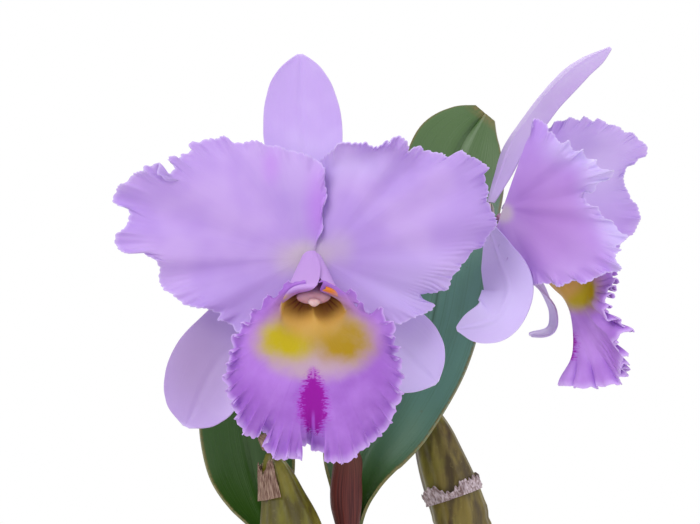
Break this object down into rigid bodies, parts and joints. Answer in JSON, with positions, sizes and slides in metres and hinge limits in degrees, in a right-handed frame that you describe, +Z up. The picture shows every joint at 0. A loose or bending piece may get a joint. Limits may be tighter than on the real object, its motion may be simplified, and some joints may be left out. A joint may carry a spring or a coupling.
{
  "type": "cattleya orchid",
  "caption": "Cattleya orchid in bloom: broad frilled lavender petals, a ruffled lip with yellow eyes and a magenta blotch, strap leaves on pseudobulbs, in a plain clay pot of bark.",
  "frame": {"origin": "centre of the pot's flat base, on the surface it stands on", "axes": "+Z up, the open bloom faces -Y, +X to the right of someone looking into it"},
  "size_m": [0.2365, 0.1538, 0.4162],
  "materials": {
    "terracotta": "matte",
    "bark": "matte",
    "root": "matte",
    "pseudobulb": "satin",
    "leaf": "satin",
    "dry_sheath": "matte",
    "spathe": "satin",
    "stem": "satin",
    "petal": "matte",
    "lip": "matte",
    "column": "satin",
    "anther": "matte"
  },
  "bodies": {
    "root": {"pot": "terracotta", "bark_medium": "bark", "rhizome_with_roots": "root", "pseudobulb_flowering": "pseudobulb", "pseudobulb_left": "pseudobulb", "pseudobulb_right": "pseudobulb", "pseudobulb_leafing": "pseudobulb", "leaf_big": "leaf", "leaf_left": "leaf", "leaf_stub": "dry_sheath", "dried_sheath": "dry_sheath", "node_remnant": "dry_sheath", "spathe": "spathe", "peduncle": "stem", "front_pedicel": "stem", "side_pedicel": "stem", "front_dorsal_sepal": "petal", "front_lateral_sepal_left": "petal", "front_lateral_sepal_right": "petal", "front_petal_left": "petal", "front_petal_right": "petal", "front_lip": "lip", "front_column": "column", "front_anther_cap": "anther", "side_dorsal_sepal": "petal", "side_lateral_sepal_left": "petal", "side_lateral_sepal_right": "petal", "side_petal_left": "petal", "side_petal_right": "petal", "side_lip": "lip", "side_column": "column", "side_anther_cap": "anther"}
  },
  "joints": []
}
